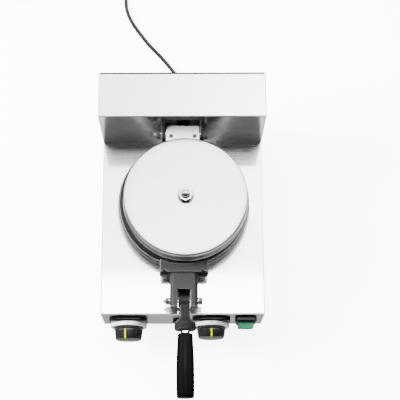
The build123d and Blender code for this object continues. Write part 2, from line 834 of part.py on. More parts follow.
def handle_grip():
    """A turned grip that swells toward its front third and ends in a rounded face."""
    bore = rod_r + screw_play
    length = handle_reach - grip_start
    swell = [(share_r, grip_start + share * length) for share_r, share in
             ((grip_back_r, 0), (12.2, 0.11), (13.7, 0.33), (grip_r, 0.56), (grip_r - 0.2, 0.98))]
    last = swell[-1]
    outline = (Spline(*swell) + Line(last, (grip_r - 1.8, handle_reach))
               + Polyline((grip_r - 1.8, handle_reach), (0, handle_reach), (0, rod_end + 1),
                          (bore, rod_end + 1), (bore, grip_start), (grip_back_r, grip_start)))
    grip = revolve(Plane.XZ * make_face(outline), Axis.Z)
    return Pos(lever_x, front_y, bolt_z) * Rot(90, 0, 0) * grip


nodes["latch_lever"] = latch_lever()
nodes["handle_nut"] = handle_nut()
nodes["handle_grip"] = handle_grip()


# Catch on the casing: a pad with a tongue that the hook pulls up against
catch_half = 22.0
catch_low = deck_z + 4.0
catch_high = deck_z + 22.0
catch_face = mould_y - casing_r - 4.5
tongue_half = 9.0
tongue_h = 5.0
catch_screw_x = 16.0
catch_screw_z = deck_z + 12.0


def catch_bracket():
    pad = block(mould_x - catch_half, mould_x + catch_half, catch_face, catch_face + 10, catch_low,
                catch_high)
    pad -= rod_z(mould_x, mould_y, deck_z, deck_z + casing_h, casing_r + running_play)
    pad += block(mould_x - tongue_half, mould_x + tongue_half, tongue_front, catch_face, tongue_low,
                 tongue_low + tongue_h)
    for side in (-1, 1):
        pad -= catch_screw(mould_x + side * catch_screw_x, screw_play)
    return pad


def catch_screw(x, more=0.0):
    shank = rod_y(x, catch_face - 0.1, catch_face + 16, catch_screw_z, 2 + more)
    return shank + rod_y(x, catch_face - 2.5 - more, catch_face, catch_screw_z, 3.8 + more)


nodes["catch_bracket"] = catch_bracket()
nodes["catch_screws"] = Compound([catch_screw(mould_x + side * catch_screw_x) for side in (-1, 1)])
nodes["lower_casing"] -= Compound([catch_screw(mould_x + side * catch_screw_x, screw_play)
                                   for side in (-1, 1)])


# Knob bezels and dials on the front panel; a bezel is square above its middle and round below
bezel_corner = 15.0
bezel_soft = 2.0
dial_soft = 1.5
notch_w = 1.0


def knob_bezel(x):
    """A plate with two large round corners above, a round lower half and a soft front edge."""
    upper = RectangleRounded(bezel_size, bezel_size, bezel_corner)
    upper &= Pos(0, bezel_size / 2) * Rectangle(2 * bezel_size, bezel_size)
    outline = Pos(x, front_y, knob_z) * Rot(90, 0, 0) * (upper + Circle(bezel_size / 2))
    plate = extrude(outline, bezel_depth)
    front_edges = plate.edges().group_by(Axis.Y)[0]
    plate = chamfer(front_edges, bezel_soft)
    return plate - rod_y(x, front_y - bezel_depth - 1, front_y + 1, knob_z, shaft_r + 1)


def dial(x):
    """A thick silver disc on the bezel with a small index notch in its edge at the top."""
    front = front_y - bezel_depth - dial_skin
    disc = rod_y(x, front, front_y - bezel_depth, knob_z, dial_r)
    disc = chamfer(disc.edges().group_by(Axis.Y)[0], dial_soft)
    disc -= block(x - notch_w / 2, x + notch_w / 2, front - 1, front + dial_skin * 0.6,
                  knob_z + dial_r - 1.2, knob_z + dial_r + 1)
    return disc - rod_y(x, front - 1, front_y, knob_z, shaft_r + 1)


nodes["timer_bezel"] = knob_bezel(timer_x)
nodes["timer_dial"] = dial(timer_x)
nodes["thermostat_bezel"] = knob_bezel(thermostat_x)
nodes["thermostat_dial"] = dial(thermostat_x)


# Knobs: a skirt, a tapered body and a yellow pointer that runs over the edge to the front face
skirt_back = bezel_depth + dial_skin + 0.4
skirt_h = 2.6
knob_edge = 1.5
pointer_half = 1.6
pointer_skin = 0.5
pointer_back = 4.5
pointer_low = 7.0
knob_bore_depth = 12.0


def knob_outline(front, more=0.0):
    """The knob's outline in radius and distance ahead of the panel."""
    skirt_top = skirt_back + skirt_h
    return [(0, skirt_back), (skirt_r, skirt_back), (skirt_r, skirt_top - 0.5), (skirt_r - 0.5, skirt_top),
            (knob_low_r + more, skirt_top), (knob_front_r + more, front - knob_edge),
            (knob_front_r - knob_edge + more, front + more), (0, front + more)]


def knob(x, front):
    body = turned_forward(knob_outline(front), x, front_y, knob_z)
    return body - rod_y(x, front_y - skirt_back - knob_bore_depth, front_y, knob_z, shaft_r + screw_play)


def pointer(x, front, turn):
    """A thin yellow bar on the knob, from near its middle up over its edge to the skirt."""
    shell = turned_forward(knob_outline(front, pointer_skin), x, front_y, knob_z)
    shell -= turned_forward(knob_outline(front), x, front_y, knob_z)
    bar = block(x - pointer_half, x + pointer_half, front_y - front - 1,
                front_y - skirt_back - skirt_h - pointer_back, knob_z + pointer_low, knob_z + knob_low_r + 1)
    return Pos(x, 0, knob_z) * Rot(0, turn, 0) * Pos(-x, 0, -knob_z) * (shell & bar)


def shaft(x, depth):
    """The control's shaft, from its body behind the panel into the knob."""
    return rod_y(x, front_y - skirt_back - knob_bore_depth, front_y + depth, knob_z, shaft_r)


shaft_depth = 13.0
for control, x, front, turn in (("timer", timer_x, timer_knob_front, timer_turn),
                                ("thermostat", thermostat_x, thermostat_knob_front, 0.0)):
    nodes[control + "_knob"] = knob(x, front)
    nodes[control + "_pointer"] = pointer(x, front, turn)
    nodes[control + "_shaft"] = shaft(x, shaft_depth)


# Timer and thermostat bodies behind the panel
timer_half = 21.0
timer_depth = 36.0
thermostat_r = 17.0
thermostat_depth = 24.0


def control_bore(x):
    """The running bore in a control's body, a little longer than its shaft."""
    return rod_y(x, front_y, front_y + shaft_depth + 1, knob_z, shaft_r + running_play)


def timer_body():
    y0 = front_y + sheet
    case = block(timer_x - timer_half, timer_x + timer_half, y0, y0 + timer_depth, knob_z - timer_half,
                 knob_z + timer_half)
    case = fillet(case.edges().filter_by(Axis.Y), 5)
    for i in (-1, 0, 1):
        case += block(timer_x + i * 12 - 3, timer_x + i * 12 + 3, y0 + timer_depth, y0 + timer_depth + 8,
                      knob_z - 0.5, knob_z + 0.5)
    return case - control_bore(timer_x)


def thermostat_body():
    y0 = front_y + sheet
    case = rod_y(thermostat_x, y0, y0 + thermostat_depth, knob_z, thermostat_r)
    case += block(thermostat_x - thermostat_r - 6, thermostat_x + thermostat_r + 6, y0, y0 + 2, knob_z - 8,
                  knob_z + 8)
    return case - control_bore(thermostat_x)


nodes["timer_body"] = timer_body()
nodes["thermostat_body"] = thermostat_body()


# Lamp: a round black bezel with a domed lens
lamp_bezel_r = 12.0
lamp_bezel_h = 6.0
lamp_lens_r = 8.0


def lamp_bezel():
    bore = lamp_lens_r + screw_play
    front = turned_forward([(0, 0), (lamp_bezel_r, 0), (lamp_bezel_r, lamp_bezel_h - 1.5),
                            (lamp_bezel_r - 1.5, lamp_bezel_h), (bore, lamp_bezel_h),
                            (bore, lamp_bezel_h - 3), (0, lamp_bezel_h - 3)], lamp_x, front_y, lamp_z)
    barrel = rod_y(lamp_x, front_y, front_y + 22, lamp_z, lamp_barrel_r)
    collar = hex_y(lamp_x, front_y + sheet, front_y + sheet + 4, lamp_z, 20)
    return front + barrel + collar


def lamp_lens():
    lens = rod_z(0, 0, lamp_bezel_h - 3, lamp_bezel_h, lamp_lens_r)
    lens += dome(lamp_lens_r, 1.0, lamp_bezel_h)
    return Pos(lamp_x, front_y, lamp_z) * Rot(90, 0, 0) * lens


nodes["lamp_bezel"] = lamp_bezel()
nodes["lamp_lens"] = lamp_lens()


# Rocker switch: a deep black surround and a green rocker on two small pins
surround_half_x = 17.5
surround_low = 20.0
surround_high = 20.0
surround_depth = 10.0
surround_shoulder = 5.0
surround_neck = 2.5
surround_bevel = 3.0
rocker_half_x = 12.8
rocker_half_z = 14.4
rocker_reach = 18.0
rocker_waist = 16.2
rocker_edge = 1.4
rocker_tilt = 7.0
rocker_pin_r = 2.0
rocker_well_z = 17.0


def rocker_surround():
    """The surround and the housing behind the panel, with the well that the rocker tips in."""
    half = surround_half_x
    low = rocker_z - surround_low
    high = rocker_z + surround_high
    neck = half - surround_neck
    outline = Polyline((-neck, low), (neck, low), (half, low + 2 * surround_shoulder),
                       (half, high - surround_shoulder), (neck, high), (-neck, high),
                       (-half, high - surround_shoulder), (-half, low + 2 * surround_shoulder), close=True)
    front = extrude(Pos(rocker_x, front_y, 0) * Rot(90, 0, 0) * make_face(outline), surround_depth)
    front = chamfer(front.edges().group_by(Axis.Y)[0], surround_bevel)
    body = block(rocker_x - rocker_body_half_x, rocker_x + rocker_body_half_x, front_y, front_y + 22,
                 rocker_z - rocker_body_half_z, rocker_z + rocker_body_half_z)
    well_half = rocker_half_x + 0.4
    well = block(rocker_x - well_half, rocker_x + well_half, front_y - surround_depth - 1, front_y + 5,
                 rocker_z - rocker_well_z, rocker_z + rocker_well_z)
    pins = rod_x(rocker_x - rocker_half_x - 1, rocker_x + rocker_half_x + 1, front_y, rocker_z,
                 rocker_pin_r + running_play)
    return front + body - well - pins


def rocker():
    """A rocker with a shallow dip across its middle, tipped with its top edge out."""
    outline = [(front_y - rocker_reach, rocker_z + rocker_half_z), (front_y - rocker_waist, rocker_z),
               (front_y - rocker_reach, rocker_z - rocker_half_z), (front_y - 5, rocker_z - rocker_half_z),
               (front_y + 2.5, rocker_z - 7), (front_y + 2.5, rocker_z + 7),
               (front_y - 5, rocker_z + rocker_half_z)]
    body = plate_x(outline, rocker_x - rocker_half_x, rocker_x + rocker_half_x)
    for side in (-1, 1):
        edge = rocker_x + side * rocker_half_x
        corner = [(edge, front_y - rocker_reach + 3 * rocker_edge), (edge, front_y - rocker_reach - 1),
                  (edge - side * rocker_edge, front_y - rocker_reach - 1)]
        cut = make_face(Polyline(*[(x, y, rocker_z - rocker_well_z) for x, y in corner], close=True))
        body -= extrude(cut, 2 * rocker_well_z, dir=(0, 0, 1))
    body += rod_x(rocker_x - rocker_half_x - 0.9, rocker_x + rocker_half_x + 0.9, front_y, rocker_z,
                  rocker_pin_r)
    middle = Pos(rocker_x, front_y, rocker_z)
    back = Pos(-rocker_x, -front_y, -rocker_z)
    return middle * Rot(rocker_tilt, 0, 0) * back * body


nodes["rocker_surround"] = rocker_surround()
nodes["rocker"] = rocker()


# Terminal block on the bottom plate
def terminal_block():
    x0 = 40.0
    y0 = rear_y - 49.0
    body = block(x0, x0 + 36, y0, y0 + 20, foot_height, foot_height + 16)
    for i in range(3):
        x = x0 + 6 + 12 * i
        body -= rod_z(x, y0 + 5, foot_height + 8, foot_height + 17, 2.6)
        body -= rod_z(x, y0 + 15, foot_height + 8, foot_height + 17, 2.6)
    return body


nodes["terminal_block"] = terminal_block()


# Cable gland in the rear wall, and the tapered strain relief on the lead
gland_across = 20.0
gland_h = 6.0
relief_start = rear_y + gland_h
relief_big_r = 6.5
relief_small_r = 4.6
rib_count = 5


def cable_gland():
    """The gland's hexagon outside, its thread through the wall and its nut inside."""
    gland = hex_y(gland_x, rear_y, relief_start, gland_z, gland_across)
    gland += rod_y(gland_x, rear_y - 12, rear_y, gland_z, gland_thread_r)
    gland += hex_y(gland_x, rear_y - sheet - 5, rear_y - sheet, gland_z, gland_across)
    return gland - rod_y(gland_x, rear_y - 13, relief_start + 1, gland_z, cord_r + screw_play)


def strain_relief():
    """A tapered sleeve with shallow grooves, closed round the lead."""
    length = relief_end - relief_start
    step = length / (2 * rib_count + 1)
    outline = [(0, 0)]
    for i in range(2 * rib_count + 1):
        share = i / (2 * rib_count)
        r = relief_big_r + (relief_small_r - relief_big_r) * share
        if i % 2 == 1:
            r -= 0.6
        outline += [(r, i * step), (r, (i + 1) * step)]
    outline.append((0, length))
    return Pos(gland_x, relief_start, gland_z) * Rot(-90, 0, 0) * turned(outline)


nodes["cable_gland"] = cable_gland()
nodes["strain_relief"] = strain_relief()


# Mains lead on the table: straight runs joined by arcs, from the strain relief to the coil
coil_low_z = coil_lift + cord_r
coil_high_z = coil_low_z + coil_pitch
coil_entry_x = -107.7
coil_x = coil_entry_x - coil_outer_r
end_straight = cord_d

lead_route = [(x, rear_y + behind, z) for x, behind, z in (
    (gland_x, relief_end - rear_y, gland_z),
    (gland_x, 62.0, gland_z),
    (-6.4, 83.8, 16.6),
    (-19.0, 108.0, cord_r),
    (-38.4, 133.0, cord_r),
    (-60.4, 156.3, cord_r),
    (-77.7, 179.8, cord_r),
    (-93.5, 203.3, cord_r),
    (-103.7, 227.1, cord_r),
    (-105.7, 251.0, cord_r),
    (-107.1, 277.0, 4.0),
    (-107.7, 303.0, coil_low_z),
    (coil_entry_x, coil_y - end_straight - rear_y, coil_low_z),
)]

tail_x = coil_x - coil_outer_r
plug_z = 18.5
tail_route = [
    (tail_x, coil_y - end_straight, coil_high_z),
    (tail_x, coil_y - 25.0, coil_high_z),
    (tail_x - 6.9, coil_y - 41.6, coil_high_z + 1.4),
    (tail_x - 19.6, coil_y - 54.3, coil_high_z + 3.4),
    (tail_x - 36.2, coil_y - 61.2, plug_z),
    (tail_x - 54.2, coil_y - 61.2, plug_z),
]


def corner_radii(route):
    """Each corner's radius: 0.45 of the shorter run over the tangent of half the turn."""
    radii = []
    for a, b, c in zip(route, route[1:], route[2:]):
        run_in = Vector(*b) - Vector(*a)
        run_out = Vector(*c) - Vector(*b)
        half_turn = math.radians(run_in.get_angle(run_out)) / 2
        radii.append(0.45 * min(run_in.length, run_out.length) / math.tan(half_turn))
    return radii


def tube_along(route, label):
    """A round tube along the route, with its radii printed and its volume compared."""
    radii = corner_radii(route)
    path = FilletPolyline(*route, radius=radii)
    section = Plane(path @ 0, z_dir=path % 0) * Circle(cord_r)
    tube = sweep(section, path)
    expected = math.pi * cord_r ** 2 * path.length
    print(label, "radii", [round(r, 1) for r in radii])
    print(label, "length", round(path.length, 1), "volume share", round(tube.volume / expected, 4))
    return tube, path.length


def half_turn_radii():
    """Radii of the coil's half turns: in along the lower layer, out along the upper one."""
    step = coil_pitch / 2
    count = round((coil_outer_r - coil_inner_r) / step)
    inward = [coil_outer_r - i * step for i in range(count)]
    return inward + [coil_inner_r] + inward[::-1]


def climb(start, end, reach):
    """Two tangent arcs that climb from the lower layer to the upper one in a half turn."""
    a = start + reach
    b = end + reach
    joint = (a + b) / 2
    arcs = []
    for first, corner, last in ((start, a, joint), (joint, b, end)):
        chord_middle = (first + last) / 2
        bisector = (chord_middle - corner).normalized()
        tangent_length = (first - corner).length
        half_angle = math.acos((first - corner).normalized().dot(bisector))
        radius = tangent_length * math.tan(half_angle)
        middle = corner + bisector * (tangent_length / math.cos(half_angle) - radius)
        arcs.append(ThreePointArc(first, middle, last))
    return arcs


def coil_path():
    """The coil's centre line: half turns that shrink by half a pitch, a climb, then growing ones."""
    radii = half_turn_radii()
    middle = len(radii) // 2
    point = Vector(coil_entry_x, coil_y, coil_low_z)
    edges = [Line(point - Vector(0, end_straight, 0), point)]
    side = 1
    for i, radius in enumerate(radii):
        end = point - Vector(2 * side * radius, 0, 0)
        if i == middle:
            end = end + Vector(0, 0, coil_pitch)
            reach = math.sqrt(radius ** 2 + coil_pitch ** 2 / 4)
            edges += climb(point, end, Vector(0, side * reach, 0))
        else:
            top = (point + end) / 2 + Vector(0, side * radius, 0)
            edges.append(ThreePointArc(point, top, end))
        point = end
        side = -side
    edges.append(Line(point, point - Vector(0, end_straight, 0)))
    return Wire(edges)


def least_gap(path):
    """The least clear distance between the coil's turns, from points along its centre line."""
    count = 600
    points = [path @ (i / count) for i in range(count + 1)]
    apart = math.ceil(4 * cord_d / (path.length / count))
    least = min((points[i] - points[j]).length
                for i in range(count + 1) for j in range(i + apart, count + 1))
    return least - cord_d


def cord_coil():
    path = coil_path()
    section = Plane(path @ 0, z_dir=path % 0) * Circle(cord_r)
    coil = sweep(section, path)
    expected = math.pi * cord_r ** 2 * path.length
    print("coil length", round(path.length, 1), "volume share", round(coil.volume / expected, 4))
    print("coil least gap", round(least_gap(path), 3))
    return coil, path.length


nodes["power_cord"], lead_length = tube_along(lead_route, "lead")
nodes["cord_coil"], coil_length = cord_coil()
nodes["cord_tail"], tail_length = tube_along(tail_route, "tail")
print("cord length in all", round(lead_length + coil_length + tail_length, 1))


# Tie round the front of the coil
tie_half = 5.0


def cord_tie():
    x0 = coil_x - tie_half
    x1 = coil_x + tie_half
    play = 0.15
    y0 = coil_y - coil_outer_r + coil_pitch / 2 - cord_r - play
    y1 = coil_y - coil_inner_r - coil_pitch / 2 + cord_r + play + 1.3
    z0 = coil_low_z - cord_r - play
    z1 = coil_high_z + cord_r + play
    outer = block(x0, x1, y0 - tie_skin, y1 + tie_skin, z0 - tie_skin, z1 + tie_skin)
    outer = fillet(outer.edges().filter_by(Axis.X), 2)
    return outer - block(x0 - 1, x1 + 1, y0, y1, z0, z1)


nodes["cord_tie"] = cord_tie()


# Plug lying on the table beside the coil, its pins pointing away from the lead
plug_r = 18.5
plug_neck_r = 6.5
plug_collar = 15.0
plug_length = 50.0
pin_length = 19.0
plug_pin_r = 2.4
plug_pin_gap = 19.0


def toward_left(solid):
    """Turns a solid that was made upward so that it points to the left from the tail's end."""
    return Pos(*tail_route[-1]) * Rot(0, -90, 0) * solid


def plug_body():
    """A moulded plug: a ribbed neck, a waisted grip and a round front."""
    side = Spline((plug_neck_r + 1.5, 12), (12.0, 20), (15.5, 28), (plug_r - 0.5, plug_length - plug_collar))
    outline = (Polyline((0, plug_length), (0, 0), (plug_neck_r - 1, 0), (plug_neck_r + 1.5, 12)) + side
               + Polyline((plug_r - 0.5, plug_length - plug_collar), (plug_r, plug_length - plug_collar + 2),
                          (plug_r, plug_length - 1), (plug_r - 1, plug_length), (0, plug_length)))
    body = revolve(Plane.XZ * make_face(outline), Axis.Z)
    for side_sign in (-1, 1):
        x = side_sign * plug_r
        body -= block(x - 2.5, x + 2.5, -4.5, 4.5, plug_length - 13, plug_length + 1)
    return toward_left(Rot(0, 0, 90) * body)


def plug_pins():
    pins = [rod_z(0, side * plug_pin_gap / 2, plug_length, plug_length + pin_length - 2, plug_pin_r)
            + Pos(0, side * plug_pin_gap / 2, plug_length + pin_length - 2) * Sphere(plug_pin_r)
            for side in (-1, 1)]
    return toward_left(Compound(pins))


nodes["plug"] = plug_body()
nodes["plug_pins"] = plug_pins()


# One file for each node
os.makedirs("parts", exist_ok=True)
for name, shape in nodes.items():
    export_step(shape, "parts/" + name + ".step")
print("nodes", len(nodes))
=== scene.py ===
import math
import bpy
import bmesh
from mathutils import Matrix, Vector


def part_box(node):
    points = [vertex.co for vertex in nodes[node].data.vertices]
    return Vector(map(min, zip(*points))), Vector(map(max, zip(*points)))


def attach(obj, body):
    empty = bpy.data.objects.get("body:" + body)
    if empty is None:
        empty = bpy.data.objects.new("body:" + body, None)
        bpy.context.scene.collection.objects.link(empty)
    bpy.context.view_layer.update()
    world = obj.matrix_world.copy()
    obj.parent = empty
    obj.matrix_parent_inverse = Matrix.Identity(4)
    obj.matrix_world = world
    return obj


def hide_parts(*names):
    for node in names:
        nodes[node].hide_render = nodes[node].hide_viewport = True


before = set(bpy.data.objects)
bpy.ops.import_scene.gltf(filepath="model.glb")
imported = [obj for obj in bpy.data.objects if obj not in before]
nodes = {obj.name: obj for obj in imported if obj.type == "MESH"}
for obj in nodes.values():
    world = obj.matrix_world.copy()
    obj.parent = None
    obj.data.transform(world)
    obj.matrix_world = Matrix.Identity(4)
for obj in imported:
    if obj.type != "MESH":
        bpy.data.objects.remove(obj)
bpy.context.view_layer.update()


# Studio camera: it hangs 1.66 m above the table and 0.15 m in front of the grip, and leans back 15
# degrees from straight down, as the photograph was taken.
focal_pixels = 974.4
picture_width = 400
sensor_mm = 36.0
camera_place = (-0.0011, -0.4069, 1.6609)
camera_lean = math.radians(14.98)
camera_roll = math.radians(-0.12)
axis_column = 181.9
axis_row = 240.0
view_end = 30


def add_camera():
    lens = bpy.data.cameras.new("studio_camera")
    lens.sensor_width = sensor_mm
    lens.lens = sensor_mm * focal_pixels / picture_width
    lens.shift_x = (picture_width / 2 - axis_column) / picture_width
    lens.shift_y = (axis_row - picture_width / 2) / picture_width
    lens.clip_end = view_end
    camera = bpy.data.objects.new("studio_camera", lens)
    turn = Matrix.Rotation(camera_lean, 4, "X") @ Matrix.Rotation(camera_roll, 4, "Z")
    camera.matrix_world = Matrix.Translation(camera_place) @ turn
    bpy.context.scene.collection.objects.link(camera)
    bpy.context.scene.camera = camera


add_camera()


# Studio table and light: a plain white table in a room whose ceiling is bright only behind the
# tower, with a soft patch there, and whose floor is bright only far in front. Steel mirrors both. A
# softbox on the left lights what isn't glossy, and a long one overhead shows only in gloss.
table_half = 6.0
table_white = (0.86, 0.86, 0.86)
table_glow = 6.5
ceiling_glow = 6.8
patch_glow = 9.0
far_glow = 2.4
near_glow = 0.36
wall_glow = 0.16
patch_across = 0.12
patch_behind = 0.37
patch_width = 0.2
patch_length = 0.16
horizon = (-0.02, 0.02)
ceiling_rise = (0, 0.2)
ceiling_edge = (0.04, 0.17)
far_edge = (-0.37, -0.3)
grain_detail = 3
tint_stops = (0.3, 0.7)


def finish(name, colour, metallic, roughness, grain=60, spread=0.05, bump=0.0, mottle=0.06,
           **sockets):
    """A surface finish. Grain is the noise's scale, one number or one for X, Y and Z; spread is how
    far it moves the roughness, bump how deep it marks the surface in metres, and mottle how far the
    colour strays to either side. Other sockets of the shader are named with their values."""
    material = bpy.data.materials.new(name)
    material.use_nodes = True
    tree = material.node_tree
    shader = tree.nodes["Principled BSDF"]
    shader.inputs["Metallic"].default_value = metallic
    shader.inputs["Roughness"].default_value = roughness
    for socket, value in sockets.items():
        shader.inputs[socket.replace("_", " ")].default_value = value
    place = tree.nodes.new("ShaderNodeTexCoord")
    stretch = tree.nodes.new("ShaderNodeMapping")
    stretch.inputs["Scale"].default_value = [grain] * 3 if isinstance(grain, int) else grain
    noise = tree.nodes.new("ShaderNodeTexNoise")
    noise.inputs["Scale"].default_value = 1
    noise.inputs["Detail"].default_value = grain_detail
    tree.links.new(place.outputs["Object"], stretch.inputs["Vector"])
    tree.links.new(stretch.outputs["Vector"], noise.inputs["Vector"])
    span = tree.nodes.new("ShaderNodeMapRange")
    span.inputs["To Min"].default_value = roughness - spread
    span.inputs["To Max"].default_value = roughness + spread
    tree.links.new(noise.outputs["Fac"], span.inputs["Value"])
    tree.links.new(span.outputs["Result"], shader.inputs["Roughness"])
    tint = tree.nodes.new("ShaderNodeValToRGB")
    for stop, at, share in zip(tint.color_ramp.elements, tint_stops, (1 - mottle, 1 + mottle)):
        stop.color = (*[min(1, share * part) for part in colour], 1)
        stop.position = at
    tree.links.new(noise.outputs["Fac"], tint.inputs["Fac"])
    tree.links.new(tint.outputs["Color"], shader.inputs["Base Color"])
    if bump:
        relief = tree.nodes.new("ShaderNodeBump")
        relief.inputs["Strength"].default_value = 1
        relief.inputs["Distance"].default_value = bump
        tree.links.new(noise.outputs["Fac"], relief.inputs["Height"])
        tree.links.new(relief.outputs["Normal"], shader.inputs["Normal"])
    return material


def add_table():
    white = finish("studio_table", table_white, metallic=0, roughness=0.9, spread=0.02, mottle=0)
    shader = white.node_tree.nodes["Principled BSDF"]
    shader.inputs["Emission Color"].default_value = (1, 1, 1, 1)
    shader.inputs["Emission Strength"].default_value = table_glow
    mesh = bpy.data.meshes.new("studio_table")
    corners = [(x * table_half, y * table_half, 0) for x, y in ((-1, -1), (1, -1), (1, 1), (-1, 1))]
    mesh.from_pydata(corners, [], [(0, 1, 2, 3)])
    mesh.materials.append(white)
    table = bpy.data.objects.new("studio_table", mesh)
    table.visible_glossy = False
    table.visible_diffuse = False
    bpy.context.scene.collection.objects.link(table)


def ramp(tree, source, span, start=0.0, end=1.0):
    """A smooth step from start to end, while the source goes through its span."""
    step = tree.nodes.new("ShaderNodeMapRange")
    step.interpolation_type = "SMOOTHSTEP"
    for socket, value in zip(("From Min", "From Max", "To Min", "To Max"), (*span, start, end)):
        step.inputs[socket].default_value = value
    tree.links.new(source, step.inputs["Value"])
    return step.outputs["Result"]


def combine(tree, operation, first, second):
    """The sum or product of two values."""
    node = tree.nodes.new("ShaderNodeMath")
    node.operation = operation
    tree.links.new(first, node.inputs[0])
    tree.links.new(second, node.inputs[1])
    return node.outputs[0]


def set_room():
    """The room's brightness by direction, where Y points behind the cooker and Z up."""
    room = bpy.data.worlds.new("studio_room")
    bpy.context.scene.world = room
    room.use_nodes = True
    tree = room.node_tree
    toward = tree.nodes.new("ShaderNodeTexCoord").outputs["Generated"]
    parts = tree.nodes.new("ShaderNodeSeparateXYZ")
    tree.links.new(toward, parts.inputs["Vector"])
    behind, up = parts.outputs["Y"], parts.outputs["Z"]
    ceiling = combine(tree, "MULTIPLY", ramp(tree, up, ceiling_rise),
                      ramp(tree, behind, ceiling_edge, 0, ceiling_glow))
    shape = tree.nodes.new("ShaderNodeMapping")
    shape.inputs["Scale"].default_value = (1 / patch_width, 1 / patch_length, 0)
    shape.inputs["Location"].default_value = (-patch_across / patch_width,
                                              -patch_behind / patch_length, 0)
    tree.links.new(toward, shape.inputs["Vector"])
    patch = tree.nodes.new("ShaderNodeTexGradient")
    patch.gradient_type = "SPHERICAL"
    tree.links.new(shape.outputs["Vector"], patch.inputs["Vector"])
    bright = combine(tree, "MULTIPLY", ramp(tree, patch.outputs["Fac"], (0, 1), 0, patch_glow),
                     ramp(tree, up, ceiling_rise))
    floor = combine(tree, "MULTIPLY", ramp(tree, up, horizon, 1, 0),
                    ramp(tree, behind, far_edge, far_glow, near_glow))
    walls = ramp(tree, up, horizon, 0, wall_glow)
    total = combine(tree, "ADD", combine(tree, "ADD", ceiling, bright),
                    combine(tree, "ADD", floor, walls))
    glow = tree.nodes["Background"]
    glow.inputs["Color"].default_value = (1, 1, 1, 1)
    tree.links.new(total, glow.inputs["Strength"])


def add_softbox(name, place, target, size, power, in_gloss):
    """A large soft light that faces the target, and shows either only in gloss or never in it."""
    light = bpy.data.lights.new(name, "AREA")
    light.shape = "RECTANGLE"
    light.size, light.size_y = size
    light.energy = power
    box = bpy.data.objects.new(name, light)
    aim = (Vector(target) - Vector(place)).to_track_quat("-Z", "Y")
    box.matrix_world = Matrix.Translation(place) @ aim.to_matrix().to_4x4()
    box.visible_glossy = in_gloss
    box.visible_diffuse = not in_gloss
    bpy.context.scene.collection.objects.link(box)


add_table()
set_room()
add_softbox("left_softbox", place=(-2.2, 0.3, 1.6), target=(0, 0, 0.1), size=(1.2, 1.2), power=500,
            in_gloss=False)
add_softbox("top_softbox", place=(0, 0.64, 4.0), target=(0, -0.1, 0.1), size=(1.7, 0.4), power=48,
            in_gloss=True)


# Base: one stainless sheet folded to a box, brushed from side to side, and a slotted bottom plate
# screwed under it. The terminal block for the lead stands inside on the plate.
brushed_across = (20, 1400, 1400)
sheet_steel = finish("sheet_steel", (0.52, 0.52, 0.52), metallic=1, roughness=0.3,
                     grain=brushed_across, spread=0.12, mottle=0.05, Coat_Weight=1, Coat_IOR=3.2,
                     Coat_Roughness=0.07)
inner_white = finish("inner_white", (0.7, 0.68, 0.62), metallic=0, roughness=0.5)


def smooth_faces(mesh, crease=32):
    """Smooth shading, with a sharp edge where two faces meet at more than the crease angle."""
    mesh.polygons.foreach_set("use_smooth", [True] * len(mesh.polygons))
    mesh.set_sharp_from_angle(angle=math.radians(crease))


def dress(material, *names):
    """Gives solids of the frame their finish."""
    for name in names:
        mesh = nodes[name].data
        mesh.materials.clear()
        mesh.materials.append(material)
        smooth_faces(mesh)


dress(sheet_steel, "base_cover", "bottom_plate")
dress(inner_white, "terminal_block")


# Feet: four black rubber feet under the corners of the bottom plate. Each is held by one plated pan
# screw, which goes up through it into the plate.
rubber_black = finish("rubber_black", (0.004, 0.004, 0.004), metallic=0, roughness=0.5, grain=900,
                      spread=0.06, Specular_IOR_Level=0.2)
zinc = finish("zinc", (0.66, 0.66, 0.65), metallic=1, roughness=0.22, grain=300)
dress(rubber_black, "foot_front_left", "foot_front_right", "foot_rear_left", "foot_rear_right")
dress(zinc, "foot_screws")


# Tower: front, top and sides folded from one brushed sheet. A thin black strip along the rear of
# its top is painted shade, for the dark shade at the folded rear edge. Its louvred back plate is
# let in and held by six plated pan screws.
tower_steel = finish("tower_steel", (0.55, 0.55, 0.55), metallic=1, roughness=0.16,
                     grain=brushed_across, spread=0.08)
# Painted shade: the black of the strip that darkens the tower's folded rear edge.
shade_strip_black = finish("shade_strip_black", (0.006, 0.006, 0.006), metallic=0, roughness=0.6, grain=400,
                    Specular_IOR_Level=0.1)
shade_strip_out = 0.0002
shade_strip_slope = 0.0001
shade_strip_in = 0.0028
shade_strip_down = 0.003
shade_strip_short = 0.002
weld_reach = 1e-6


def join_rings(form, rings):
    """Skins a form over closed rings of points."""
    for one, other in zip(rings, rings[1:]):
        count = len(one)
        for i in range(count):
            j = (i + 1) % count
            form.faces.new(list(dict.fromkeys((one[i], one[j], other[j], other[i]))))


def join_bar(form, rings):
    """Skins a bar over its rings and closes both its ends."""
    join_rings(form, rings)
    form.faces.new(rings[0])
    form.faces.new(rings[-1])


def set_piece(name, form, material, slot, body, *stands_for, crease=24):
    """Puts a finished form in the scene on its body."""
    bmesh.ops.remove_doubles(form, verts=form.verts, dist=weld_reach)
    bmesh.ops.recalc_face_normals(form, faces=form.faces)
    mesh = bpy.data.meshes.new(name)
    form.to_mesh(mesh)
    form.free()
    mesh.materials.append(material)
    smooth_faces(mesh, crease)
    piece = bpy.data.objects.new(name, mesh)
    bpy.context.scene.collection.objects.link(piece)
    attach(piece, body)
    if stands_for:
        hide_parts(*stands_for)
    return piece


def add_tower_shade_strip():
    """The painted shade: a flat black strip over the folded edge, on the top and down the back."""
    low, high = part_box("tower_cover")
    edge, top = high[1], high[2]
    strip = [(edge - shade_strip_in, top), (edge - shade_strip_in + shade_strip_slope, top + shade_strip_out),
             (edge, top + shade_strip_out), (edge + shade_strip_out, top), (edge + shade_strip_out, top - shade_strip_down),
             (edge, top - shade_strip_down)]
    form = bmesh.new()
    join_bar(form, [[form.verts.new((x, y, z)) for y, z in strip]
                    for x in (low[0] + shade_strip_short, high[0] - shade_strip_short)])
    set_piece("tower_shade_strip", form, shade_strip_black, "black_steel", "base")


